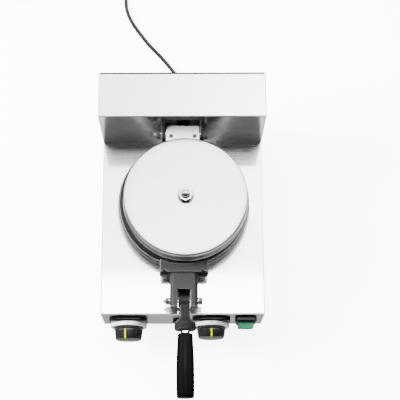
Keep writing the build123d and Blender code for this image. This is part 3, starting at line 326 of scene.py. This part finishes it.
dress(tower_steel, "tower_cover", "tower_back")
dress(zinc, "tower_back_screws")
# The strip along the rear of the tower's top is painted shade.
add_tower_shade_strip()


# Hinge bracket: a charcoal coated casting let into the tower from inside, with two ears for the
# bolt. Its edges are round as cast, and four welded studs with nuts hold it.
cast_charcoal = finish("cast_charcoal", (0.017, 0.017, 0.0175), metallic=0, roughness=0.48,
                       grain=520, spread=0.12, bump=0.0004, mottle=0.4, Specular_IOR_Level=0.08)
# Painted highlight: the pointiness over which a casting's edges are lightened in colour.
highlight_span = (0.51, 0.56)
rub_share = 0.5


def paint_edge_highlights(material, highlight_grey):
    """Painted highlight: lightens the colour of a casting's convex edges, where light would catch
    them.
    """
    tree = material.node_tree
    shape = tree.nodes.new("ShaderNodeNewGeometry")
    edge = ramp(tree, shape.outputs["Pointiness"], highlight_span)
    blend = tree.nodes.new("ShaderNodeMix")
    blend.data_type = "RGBA"
    shader = tree.nodes["Principled BSDF"]
    tree.links.new(edge, blend.inputs["Factor"])
    tree.links.new(shader.inputs["Base Color"].links[0].from_socket, blend.inputs["A"])
    blend.inputs["B"].default_value = (highlight_grey, highlight_grey, highlight_grey, 1)
    tree.links.new(blend.outputs["Result"], shader.inputs["Base Color"])


def copy_solid(name, node):
    """A piece with a copy of a solid's mesh, ready for the steps that shape it."""
    piece = bpy.data.objects.new(name, nodes[node].data.copy())
    bpy.context.scene.collection.objects.link(piece)
    return piece


def shaped_mesh(piece):
    """The mesh that a piece has after all its shaping steps."""
    state = bpy.context.evaluated_depsgraph_get()
    return bpy.data.meshes.new_from_object(piece.evaluated_get(state))


def keep_shape(piece):
    """Gives a piece the shape that its steps make, and takes the steps off."""
    shaped = shaped_mesh(piece)
    piece.modifiers.clear()
    piece.data = shaped


def set_copy(piece, node, material, body, crease):
    """Puts a shaped copy of a solid on its body, in the solid's place."""
    keep_shape(piece)
    piece.data.name = piece.name
    piece.data.materials.clear()
    piece.data.materials.append(material)
    smooth_faces(piece.data, crease)
    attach(piece, body)
    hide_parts(node)


def soft_form(name, node, material, body, cell=0.0008, rounds=4):
    """A casting or moulding: the solid's skin is rebuilt in small cells and then rubbed down, which
    gives it the round edges of the real piece."""
    piece = copy_solid(name, node)
    cells = piece.modifiers.new("cells", "REMESH")
    cells.mode = "VOXEL"
    cells.voxel_size = cell
    rub = piece.modifiers.new("rub", "SMOOTH")
    rub.factor = rub_share
    rub.iterations = rounds
    set_copy(piece, node, material, body, crease=80)


# Painted highlight: the castings' convex edges are lightened towards this grey.
paint_edge_highlights(cast_charcoal, highlight_grey=0.16)
soft_form("hinge_casting", "hinge_bracket", cast_charcoal, "base")
dress(zinc, "hinge_bracket_nuts")


# Lower casing and mould: a spun pot of duller steel stands on the deck and carries the cast lower
# mould, whose dark grey coat has a metallic sheen. The heating tube lies under the mould. A stud
# and its nut draw mould and casing down.
pot_steel = finish("pot_steel", (0.42, 0.42, 0.42), metallic=1, roughness=0.42,
                   grain=(300, 300, 1400), spread=0.08)
mould_grey = finish("mould_grey", (0.09, 0.09, 0.092), metallic=1, roughness=0.35, grain=500,
                    spread=0.08)
heater_tube = finish("heater_tube", (0.25, 0.24, 0.22), metallic=1, roughness=0.45, grain=500,
                     spread=0.08)
dress(pot_steel, "lower_casing")
dress(mould_grey, "lower_mould")
dress(heater_tube, "lower_heater")
dress(zinc, "lower_stud")


# Catch: a small casting screwed to the casing, with the tongue that the lever's hook pulls against.
# Its screws are coloured black as painted shade, to sit dark in the shade under the bracket.
# Dark steel: blackened screws on the handle bracket, and painted shade on the catch's screws.
black_steel = finish("black_steel", (0.04, 0.04, 0.04), metallic=1, roughness=0.4)
soft_form("catch_casting", "catch_bracket", cast_charcoal, "base")
# Painted shade: the catch screws are black to match the shade under the bracket.
dress(black_steel, "catch_screws")


# Upper mould: the mating cast disc, in a black non-stick coat and with the hinge lugs at its back.
# Its own heating tube lies on it, under the lid cover.
mould_black = finish("mould_black", (0.004, 0.004, 0.0042), metallic=0, roughness=0.4, grain=500,
                     spread=0.08, Specular_IOR_Level=0.12)
dress(mould_black, "upper_mould")
dress(heater_tube, "upper_heater")


# Lid cover: pressed stainless with a soft edge and a bead round its foot, notched at the back for
# the hinge lugs. A stud through its middle, a turned washer and a domed nut draw it down. The
# outlines give radii and heights in millimetres above the deck.
per_metre = 1000
cover_place = Matrix.Translation((0.005, 0.061, 0.106))
cover_outline = [
    (5.1, 78), (30, 78), (60, 78), (85, 78), (95.4, 78), (96.94, 77.7), (98.23, 76.83),
    (99.1, 75.53), (99.4, 74), (99.6, 68), (99.85, 61), (99.97, 57.4), (99.95, 56.9),
    (100.1, 56.55), (100.5, 56.35), (100.85, 55.95), (101, 55.3), (100.95, 54.6),
    (100.7, 53.95), (100.2, 53.6), (99.6, 53.5), (96.5, 53.5), (96.5, 54.5), (98.9, 54.5),
    (98.9, 57), (98.4, 74), (97.5, 76.1), (95.4, 77), (60, 77), (5.1, 77), (5.1, 78),
]
washer_outline = [(5.1, 78), (12.4, 78), (12.9, 78.2), (13, 78.6), (12.8, 79), (12.4, 79.2),
                  (5.1, 79.2), (5.1, 78)]
notch_low = (-0.0266, 0.1472, 0.1585)
notch_high = (0.0278, 0.22, 0.183)
cap_bore = 5.1
cap_flat = 10
cap_low = 79.2
cap_shoulder = 87.2
cap_rise = 8
dome_share = 0.76
dome_rings = 9
corner_drop = 0.5
lid_steel = finish("lid_steel", (0.49, 0.49, 0.49), metallic=1, roughness=0.3,
                   grain=brushed_across, spread=0.1, mottle=0.07)
# Painted shade: the washer is darkened so that it rings the nut with a dark outline of shade.
washer_painted_shade = finish("washer_painted_shade", (0.16, 0.16, 0.16), metallic=1, roughness=0.35, grain=300)
nut_chrome = finish("nut_chrome", (0.45, 0.45, 0.45), metallic=1, roughness=0.12, grain=300)


def turn_piece(name, outline, place, material, slot, body, node, steps=72, crease=24):
    """Turns a piece from an outline of radii and heights in millimetres, round the Z of its place.
    A third number makes its ring a hexagon, whose corners drop by that much for each unit that they
    stand out beyond its flats."""
    form = bmesh.new()
    rings = []
    for radius, height, *drop in outline:
        ring = []
        for i in range(steps):
            angle = 2 * math.pi * i / steps
            reach, level = radius, height
            if drop:
                reach /= math.cos(angle % (math.pi / 3) - math.pi / 6)
                level -= drop[0] * (reach - radius)
            if reach > 0 or not ring:
                point = Vector((reach * math.cos(angle), reach * math.sin(angle), level))
                vertex = form.verts.new(place @ (point / per_metre))
            ring.append(vertex)
        rings.append(ring)
    join_rings(form, rings)
    return set_piece(name, form, material, slot, body, node, crease=crease)


def hexagon(flat, low, high, insets=(0.3, 0.4)):
    """The side of a hexagon from one height to another, with its corners chamfered at both ends."""
    return [(flat - insets[0], low), (flat, low, -corner_drop), (flat, high, corner_drop),
            (flat - insets[1], high)]


def cut_notch(cover):
    """Cuts the notch for the hinge lugs out of the cover's back."""
    block = bmesh.new()
    bmesh.ops.create_cube(block)
    for vertex in block.verts:
        vertex.co = [high if at > 0 else low
                     for at, low, high in zip(vertex.co, notch_low, notch_high)]
    notch_mesh = bpy.data.meshes.new("notch")
    block.to_mesh(notch_mesh)
    block.free()
    notch = bpy.data.objects.new("notch", notch_mesh)
    bpy.context.scene.collection.objects.link(notch)
    cut = cover.modifiers.new("notch", "BOOLEAN")
    cut.operation = "DIFFERENCE"
    cut.solver = "EXACT"
    cut.object = notch
    keep_shape(cover)
    smooth_faces(cover.data, crease=30)
    bpy.data.objects.remove(notch)


def cap_outline():
    """The domed nut: a chamfered hexagon with a round cap on it."""
    outline = [(cap_bore, cap_low)] + hexagon(cap_flat, cap_low, cap_shoulder, insets=(0.4, 0.4))
    for k in range(dome_rings):
        angle = math.pi / 2 * k / dome_rings
        outline.append((dome_share * cap_flat * math.cos(angle),
                        cap_shoulder + cap_rise * math.sin(angle)))
    return outline + [(0, cap_shoulder + cap_rise)]


cut_notch(turn_piece("lid_cover_pressed", cover_outline, cover_place, lid_steel, "lid_steel", "lid",
                     "lid_cover", steps=144, crease=30))
turn_piece("cap_nut_domed", cap_outline(), cover_place, nut_chrome, "zinc", "lid", "cap_nut")
# The washer's dark colour is painted shade round the nut.
turn_piece("lid_washer_turned", washer_outline, cover_place, washer_painted_shade, "zinc", "lid",
           "lid_washer", crease=40)
dress(zinc, "lid_stud")


# Hinge leaf and bolt: a bright plate with two slotted screws on the mould's lugs, and the bolt that
# carries it between the ears, with its nut and washer on the left.
leaf_satin = finish("leaf_satin", (0.85, 0.85, 0.85), metallic=0.5, roughness=0.5, grain=500)
# Painted shade: the screws are darkened to stand in for the shadows round their heads.
screw_painted_shade = finish("screw_painted_shade", (0.07, 0.07, 0.07), metallic=1, roughness=0.35, grain=400)
leaf_edge = 0.0005
leaf_edge_steps = 3
leaf_edge_angle = math.radians(40)
end_inset = 0.7
end_ease = 0.1
thread_start = 0.6
thread_pitch = 1
thread_depth = 0.45
thread_crest = 0.02
washer_bulge = 0.2
washer_round = 0.3
bore_chamfer = 0.5


def add_hinge_leaf():
    """The leaf on its solid, with its sharp edges taken off."""
    leaf = copy_solid("hinge_leaf_plate", "hinge_leaf")
    weld = leaf.modifiers.new("weld", "WELD")
    weld.merge_threshold = weld_reach
    edge = leaf.modifiers.new("edge", "BEVEL")
    edge.width = leaf_edge
    edge.segments = leaf_edge_steps
    edge.angle_limit = leaf_edge_angle
    set_copy(leaf, "hinge_leaf", leaf_satin, "lid", crease=15)


def length_along(axis, node):
    """How long a solid is along an axis, in millimetres."""
    low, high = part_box(node)
    side = "XYZ".index(axis)
    return (high[side] - low[side]) * per_metre


def along_x(node, side):
    """The line of a bolt along X, from its left end toward the right, or the other way."""
    low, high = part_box(node)
    start = low[0] if side > 0 else high[0]
    middle = Vector((start, (low[1] + high[1]) / 2, (low[2] + high[2]) / 2))
    return Matrix.Translation(middle) @ Matrix.Rotation(math.radians(90 * side), 4, "Y")


def add_bolt(name, node, body, radius, thread, head_flat, head_height, washer=0.0):
    """A bolt from its cut end: a ringed thread, a plain shank, sometimes a washer, and the head."""
    length = length_along("X", node)
    outline = [(0, 0), (radius - end_inset, 0), (radius - end_ease, thread_start)]
    for k in range(thread):
        outline += [(radius - thread_depth, thread_start + (k + 0.5) * thread_pitch),
                    (radius - thread_crest, thread_start + (k + 1) * thread_pitch)]
    head = length - head_height
    outline += [(radius, thread_start + (thread + 1) * thread_pitch), (radius, head - washer)]
    if washer:
        outline += [(2 * radius, head - washer), (2 * radius + washer_bulge, head - washer / 2),
                    (2 * radius, head)]
    outline += hexagon(head_flat, head, length) + [(0, length)]
    turn_piece(name, outline, along_x(node, 1), zinc, "zinc", body, node)


def add_nut(name, node, body, bore, washer_radius, washer, flat):
    """A nut with its washer, from the washer's face outward."""
    length = length_along("X", node)
    outline = [(bore, 0), (washer_radius - washer_bulge, 0), (washer_radius, washer_round),
               (washer_radius - washer_bulge, washer)]
    outline += hexagon(flat, washer, length)
    outline += [(bore + bore_chamfer, length), (bore, length - bore_chamfer), (bore, 0)]
    turn_piece(name, outline, along_x(node, -1), zinc, "zinc", body, node)


add_hinge_leaf()
# The leaf's screws are dark as painted shade.
dress(screw_painted_shade, "hinge_leaf_screws")
add_bolt("hinge_bolt", "hinge_pin", "base", radius=3.5, thread=12, head_flat=5.5, head_height=5.4)
add_nut("hinge_bolt_nut", "hinge_pin_nut", "base", bore=3.6, washer_radius=6.8, washer=1.5,
        flat=5.5)


# Handle bracket: a charcoal casting screwed to the front edge of the upper mould, ending in a fork
# for the latch bolt, which has its head on the right and its nut on the left.
soft_form("fork_casting", "handle_bracket", cast_charcoal, "lid", rounds=12)
dress(black_steel, "handle_bracket_screws")
add_bolt("latch_bolt_turned", "latch_bolt", "lid", radius=3.0, thread=9, head_flat=5.0,
         head_height=5.4, washer=1.5)
add_nut("latch_bolt_nut", "latch_nut", "lid", bore=3.1, washer_radius=6.2, washer=1.5, flat=5.0)


# Latch lever: a charcoal casting on the bolt, with its hook below and a bell-shaped hub in front. A
# nut locks the turned glossy grip on its rod.
lever_charcoal = finish("lever_charcoal", (0.007, 0.007, 0.0072), metallic=0, roughness=0.45,
                        grain=700, spread=0.1, bump=0.0002, mottle=0.35, Specular_IOR_Level=0.05)
gloss_black = finish("gloss_black", (0.001, 0.001, 0.001), metallic=0, roughness=0.2, grain=300,
                     spread=0.03, Specular_IOR_Level=0.025)
lever_middle = (0.0038, 0.141)
grip_back = [(4.2, 0), (10.9, 0), (11.4, 0.25)]
grip_swell = [(11.6, 0), (12.3, 0.11), (13.0, 0.22), (13.7, 0.36), (14.1, 0.5), (14.2, 0.64),
              (14.1, 0.8), (14.0, 0.93)]
grip_front = [(13.9, 3), (13.6, 1.6), (12.9, 0.7), (11.8, 0.2), (10.4, 0), (0, 0)]
swell_start = 0.7
handle_nut_bore = 4.1
handle_nut_flat = 6.5


def forward(node, x, z):
    """The line from the rear end of a node straight to the front."""
    low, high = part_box(node)
    return Matrix.Translation((x, high[1], z)) @ Matrix.Rotation(math.radians(90), 4, "X")


def before_end(length, outline):
    """An outline whose second numbers are given as distances before the far end."""
    return [(radius, length - short) for radius, short in outline]


def add_handle_nut():
    length = length_along("Y", "handle_nut")
    outline = [(handle_nut_bore, 0)] + hexagon(handle_nut_flat, 0, length, insets=(0.3, 0.3))
    outline += [(handle_nut_bore, length), (handle_nut_bore, 0)]
    turn_piece("handle_nut_turned", outline, forward("handle_nut", *lever_middle), zinc, "zinc",
               "lever", "handle_nut")


def add_grip():
    length = length_along("Y", "handle_grip")
    swell = [(radius, max(swell_start, share * length)) for radius, share in grip_swell]
    turn_piece("grip_turned", grip_back + swell + before_end(length, grip_front),
               forward("handle_grip", *lever_middle), gloss_black, "grip_black", "lever",
               "handle_grip", steps=96, crease=50)


# Painted highlight: the lever's convex edges are lightened in colour.
paint_edge_highlights(lever_charcoal, highlight_grey=0.07)
soft_form("lever_casting", "latch_lever", lever_charcoal, "lever", cell=0.0007)
add_handle_nut()
add_grip()


# Knobs: on each a moulded black bezel, a silver dial with printed marks, and a black knob with a
# yellow pointer, pressed on the shaft of the control behind the panel.
satin_black = finish("satin_black", (0.004, 0.004, 0.004), metallic=0, roughness=0.26, grain=900,
                     Specular_IOR_Level=0.4)
bezel_black = finish("bezel_black", (0.003, 0.003, 0.003), metallic=0, roughness=0.3, grain=300,
                     spread=0.03, Specular_IOR_Level=0.15)
pointer_yellow = finish("pointer_yellow", (0.3, 0.31, 0.002), metallic=0, roughness=0.45,
                        Specular_IOR_Level=0)
dial_silver = finish("dial_silver", (0.72, 0.72, 0.72), metallic=0.2, roughness=0.4, grain=500)
mark_black = finish("mark_black", (0.01, 0.01, 0.01), metallic=0, roughness=0.6)
knob_height = 0.058
dial_outline = [(4, 0), (30, 0), (30.4, 0.4), (30.4, 5), (30.15, 5.8), (29.5, 6.3), (29, 6.4),
                (25, 6.4), (4, 6.2), (4, 0)]
knob_back = [(3.1, 0), (24.2, 0), (24.5, 0.3), (24.5, 2.1), (24.1, 2.6), (23.5, 2.7), (23.1, 3.1),
             (23.15, 3.5), (23.35, 3.7), (23.2, 6)]
knob_front = [(22.2, 5.5), (21.6, 2.2), (21.35, 1.3), (20.8, 0.5), (19.9, 0), (18.4, 0),
              (17.8, 0.5), (0, 0.7)]
pointer_front = [(7, 0.55), (17.7, 0.4), (18.4, -0.1), (20, -0.1), (21, 0.4), (21.6, 1.2),
                 (21.85, 2.2), (22.45, 5.5)]
pointer_foot = (23.35, 4.6)
pointer_raised = (0.25, (-1.3, -0.7, 0, 0.7, 1.3))
pointer_sunk = (-0.3, (1.2, 0, -1.2))
side_from = 0.3
front_to = 0.8
marks_per_number = 4
long_mark = (0.35, 1.5, 0.06)
short_mark = (0.35, 0.9, 0.06)
rim_mark = (1.0, 4.6, 0.1)
mark_place = (0, 0.0285, 0.00641)
number_place = (0, 0.0267, 0.00642)
rim_place = (0, 0.0304, 0.0027)
mark_chip = 0.4
number_height = 0.0023
print_depth = 0.00003


def add_mark(form, place, size):
    """One printed mark of so many millimetres: a thin bar with its corners taken off."""
    wide, tall, deep = [side / 2 / per_metre for side in size]
    chip = min(wide, tall) * mark_chip
    shape = [(wide - chip, tall), (wide, tall - chip), (wide, chip - tall), (wide - chip, -tall)]
    shape += [(-x, -y) for x, y in shape]
    join_bar(form, [[form.verts.new(place @ Vector((x, y, z))) for x, y in shape]
                    for z in (-deep, deep)])


def add_number(form, text, place):
    """A printed number, as flat shapes."""
    curve = bpy.data.curves.new("number", "FONT")
    curve.body = text
    curve.size = number_height
    curve.align_x = "CENTER"
    curve.align_y = "CENTER"
    curve.extrude = print_depth
    lettering = bpy.data.objects.new("number", curve)
    bpy.context.scene.collection.objects.link(lettering)
    shape = shaped_mesh(lettering)
    shape.transform(place)
    form.from_mesh(shape)
    bpy.data.objects.remove(lettering)
    bpy.data.meshes.remove(shape)


def add_dial_marks(control, dial_place, numbers, sweep):
    """Long marks with numbers and short ones between on the dial's face, and one on its rim."""
    form = bmesh.new()
    steps = marks_per_number * (len(numbers) - 1)
    for i in range(steps + 1):
        turned = dial_place @ Matrix.Rotation(-math.radians(sweep) * i / steps, 4, "Z")
        numbered = i % marks_per_number == 0
        add_mark(form, turned @ Matrix.Translation(mark_place),
                 long_mark if numbered else short_mark)
        if numbered:
            add_number(form, numbers[i // marks_per_number],
                       turned @ Matrix.Translation(number_place))
    turned = Matrix.Translation(rim_place) @ Matrix.Rotation(math.radians(90), 4, "X")
    add_mark(form, dial_place @ turned, rim_mark)
    set_piece(control + "_dial_marks", form, mark_black, "bezel_black", "base")


def add_pointer(control, knob_place, length, turn):
    """The yellow bar: from near the middle of the knob's front, over its edge and down its side. It
    stands off the front as far back as front_to, and off the side from side_from backward."""
    form = bmesh.new()
    rings = []
    for radius, height in before_end(length, pointer_front) + [pointer_foot]:
        ring = []
        for lift, sides in (pointer_raised, pointer_sunk):
            for x in sides:
                out = radius + (lift if height < length - side_from else 0)
                up = height + (lift if height >= length - front_to else 0)
                point = Vector((x, math.sqrt(out * out - x * x), up)) / per_metre
                ring.append(form.verts.new(knob_place @ turn @ point))
        rings.append(ring)
    join_bar(form, rings)
    set_piece(control + "_pointer_bar", form, pointer_yellow, "pointer_yellow", control,
              control + "_pointer", crease=40)


def add_control(control, numbers, sweep, pointer_turn):
    """A dial with its marks and a knob with its pointer, which turns on the body of that name."""
    low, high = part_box(control + "_dial")
    middle = (low[0] + high[0]) / 2
    dial_place = forward(control + "_dial", middle, knob_height)
    turn_piece(control + "_dial_disc", dial_outline, dial_place, dial_silver, "dial_silver", "base",
               control + "_dial", steps=96, crease=40)
    add_dial_marks(control, dial_place, numbers, sweep)
    length = length_along("Y", control + "_knob")
    knob_place = forward(control + "_knob", middle, knob_height)
    turn_piece(control + "_knob_turned", knob_back + before_end(length, knob_front), knob_place,
               satin_black, "knob_black", control, control + "_knob", steps=96, crease=50)
    add_pointer(control, knob_place, length, Matrix.Rotation(math.radians(-pointer_turn), 4, "Z"))


for control in ("timer", "thermostat"):
    soft_form(control + "_bezel_moulded", control + "_bezel", bezel_black, "base",
              cell=0.0006)
add_control("timer", ("0", "5", "10", "15", "20", "25", "30"), sweep=300, pointer_turn=-12)
add_control("thermostat", ("0", "50", "100", "150", "200", "250", "300"), sweep=270,
            pointer_turn=0)
dress(zinc, "timer_shaft", "thermostat_shaft")
dress(inner_white, "timer_body", "thermostat_body")


# Lamp and rocker switch: a low amber lens in a black moulded bezel, and a green moulded key that
# tips in its black surround. Both sit in openings of the front panel.
lamp_amber = finish("lamp_amber", (0.05, 0.015, 0.003), metallic=0, roughness=0.2)
rocker_green = finish("rocker_green", (0.015, 0.115, 0.062), metallic=0, roughness=0.25,
                      mottle=0.12, Specular_IOR_Level=0.4)
soft_form("lamp_bezel_moulded", "lamp_bezel", bezel_black, "base", cell=0.0005)
dress(lamp_amber, "lamp_lens")
soft_form("rocker_frame_moulded", "rocker_surround", bezel_black, "base",
          cell=0.0006)
soft_form("rocker_key_moulded", "rocker", rocker_green, "rocker_key", cell=0.0004,
          rounds=6)


# Mains lead: black rubber, 7 mm thick, from the strain relief in the back wall over the table to
# the coil that holds the spare length, and out of the coil's upper layer into the moulded plug.
pin_brass = finish("pin_brass", (0.8, 0.72, 0.55), metallic=1, roughness=0.25)
lead_thickness = 0.007
lead_roundness = 4
lead_fineness = 6
lead_order = 3
table_line = lead_thickness / 2
lead_route = [
    (0.002, 0.288, 0.032),
    (0.002, 0.316, 0.032),
    (-0.0064, 0.3378, 0.0166),
    (-0.019, 0.362, table_line),
    (-0.0384, 0.387, table_line),
    (-0.0604, 0.4103, table_line),
    (-0.0777, 0.4338, table_line),
    (-0.0935, 0.4573, table_line),
    (-0.1037, 0.4811, table_line),
    (-0.1057, 0.505, table_line),
    (-0.1071, 0.531, 0.004),
    (-0.1077, 0.557, 0.0047),
    (-0.1077, 0.583, 0.0047),
]
tail_route = [
    (-0.1997, 0.583, 0.0122),
    (-0.1997, 0.565, 0.0122),
    (-0.2066, 0.5484, 0.0136),
    (-0.2193, 0.5357, 0.0156),
    (-0.2359, 0.5288, 0.0185),
    (-0.2539, 0.5288, 0.0185),
]
coil_middle = (-0.1537, 0.59)
coil_low = 0.0047
coil_pitch = 0.0075
coil_outer = 0.046
coil_inner = 0.031
coil_corners = 6


def coil_route():
    """The coil's turns: half circles that shrink along the lower layer, one that climbs, and half
    circles that grow along the upper layer."""
    step = coil_pitch / 2
    count = round((coil_outer - coil_inner) / step)
    inward = [coil_outer - i * step for i in range(count)]
    half_turns = inward + [coil_inner] + inward[::-1]
    climbing = len(half_turns) // 2
    start_x = coil_middle[0] + coil_outer
    side = 1
    level = coil_low
    points = []
    for i, radius in enumerate(half_turns):
        centre_x = start_x - side * radius
        reach = side * radius / math.cos(math.pi / coil_corners / 2)
        for k in range(coil_corners):
            share = (k + 0.5) / coil_corners
            angle = math.pi * share
            lift = coil_pitch * share if i == climbing else 0
            points.append((centre_x + reach * math.cos(angle),
                           coil_middle[1] + reach * math.sin(angle), level + lift))
        if i == climbing:
            level += coil_pitch
        start_x = centre_x - side * radius
        side = -side
    return points


def add_lead():
    curve = bpy.data.curves.new("mains_lead", "CURVE")
    curve.dimensions = "3D"
    curve.bevel_depth = lead_thickness / 2
    curve.bevel_resolution = lead_roundness
    curve.resolution_u = lead_fineness
    curve.use_fill_caps = True
    curve.materials.append(rubber_black)
    spline = curve.splines.new("NURBS")
    route = lead_route + coil_route() + tail_route
    spline.points.add(len(route) - 1)
    for point, place in zip(spline.points, route):
        point.co = (*place, 1)
    spline.order_u = lead_order
    spline.use_endpoint_u = True
    lead = bpy.data.objects.new("mains_lead", curve)
    bpy.context.scene.collection.objects.link(lead)
    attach(lead, "base")
    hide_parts("power_cord", "cord_coil", "cord_tail")


add_lead()
dress(rubber_black, "strain_relief", "plug", "cord_tie", "cable_gland")
dress(pin_brass, "plug_pins")
